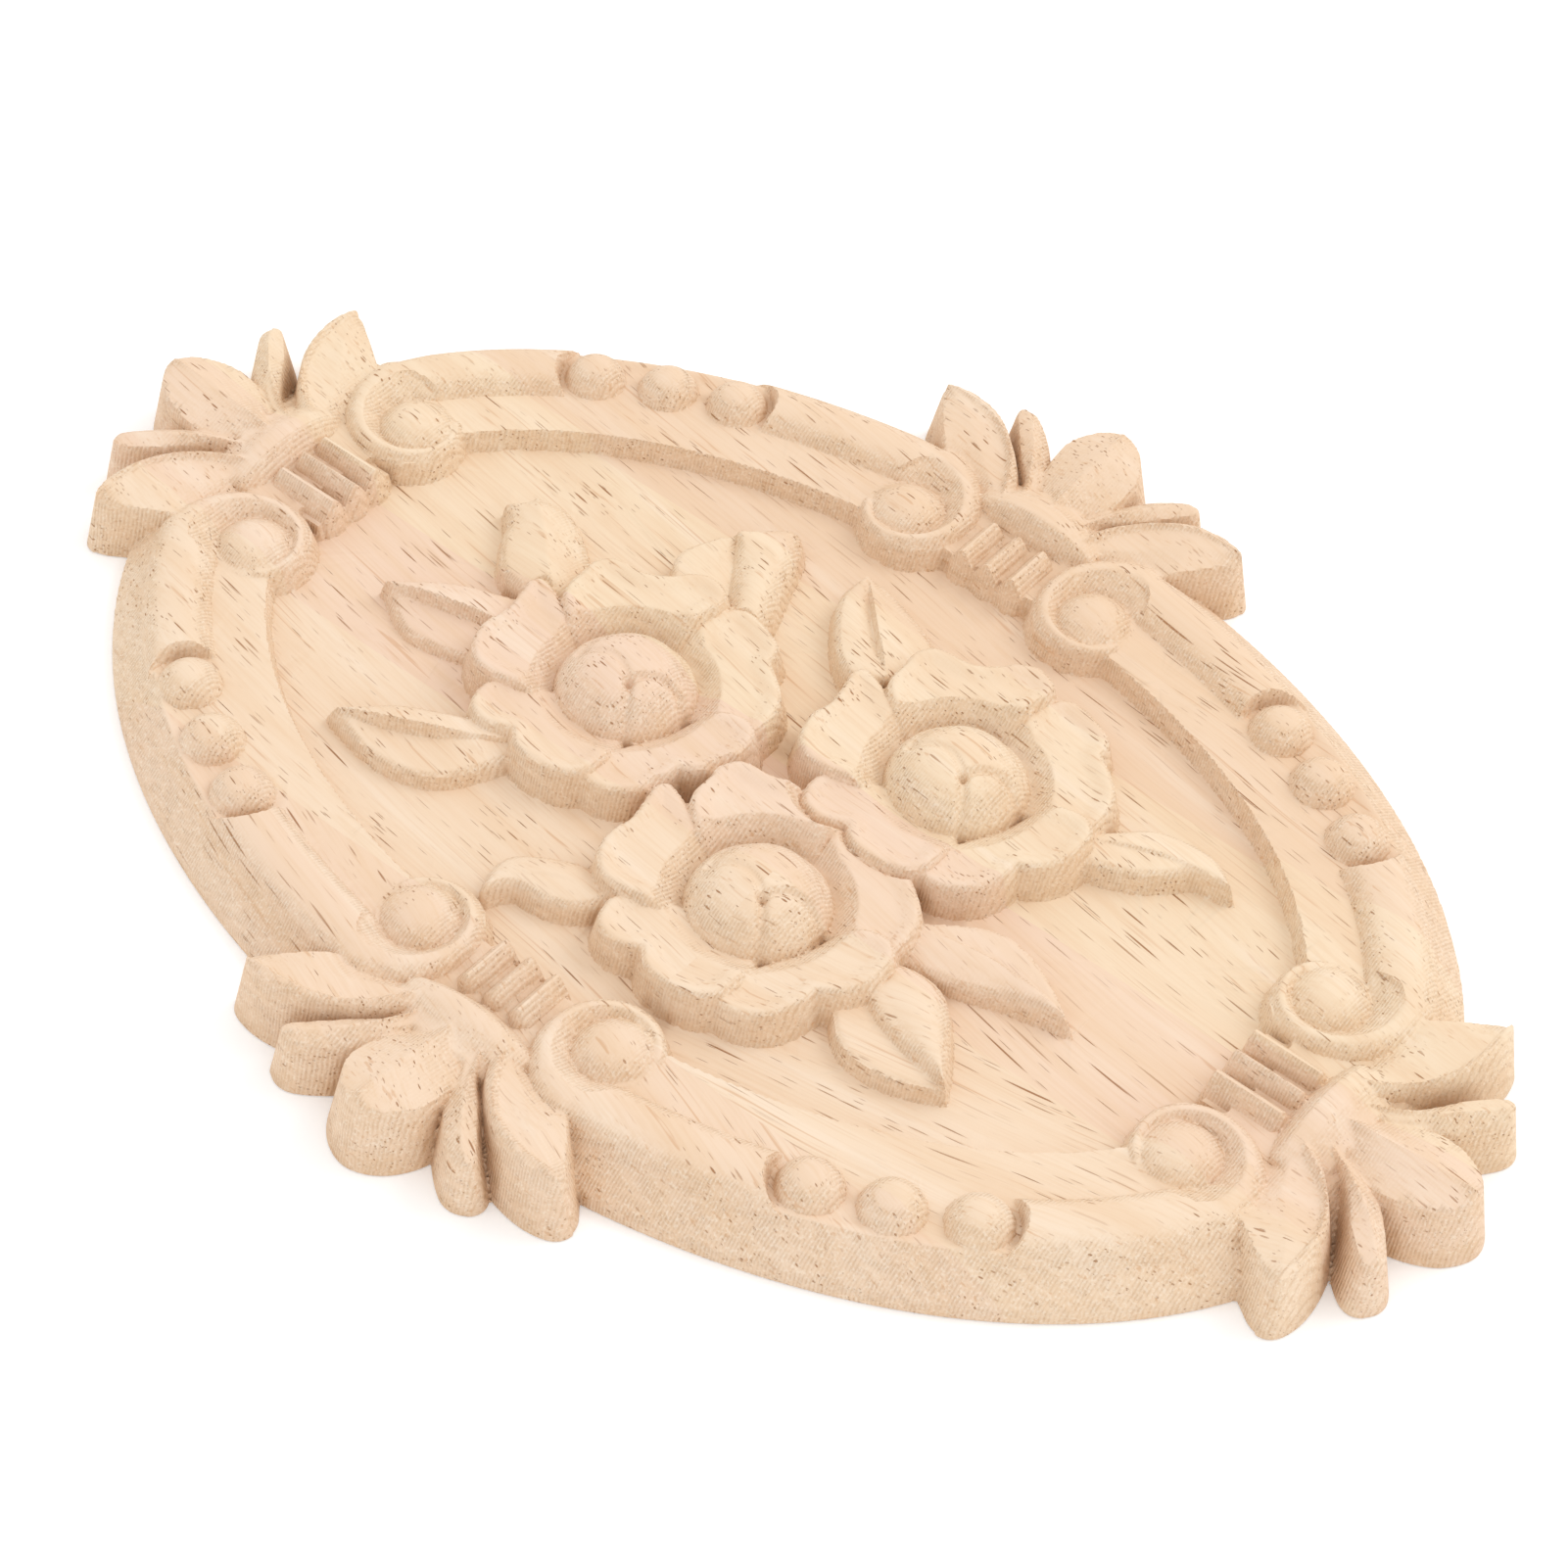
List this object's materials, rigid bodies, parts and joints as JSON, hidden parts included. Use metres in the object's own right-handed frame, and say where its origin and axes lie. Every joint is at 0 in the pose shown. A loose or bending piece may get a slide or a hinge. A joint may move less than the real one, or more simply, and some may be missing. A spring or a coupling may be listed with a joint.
{
  "type": "carved wood applique",
  "caption": "Oval carved wood applique: rolled rim with scrolls and beads, leaf palmettes at the ends and sides, and a flower bouquet on a sunk field; flat back for gluing.",
  "frame": {"origin": "centre of the flat back, the face that is glued down", "axes": "+X along the oval's length, +Y across it, +Z out of the carved face"},
  "size_m": [0.299, 0.2174, 0.0159],
  "materials": {
    "rubberwood": "unfinished, fine machine-carved"
  },
  "bodies": {
    "root": {"oval_applique": "rubberwood"}
  },
  "joints": []
}
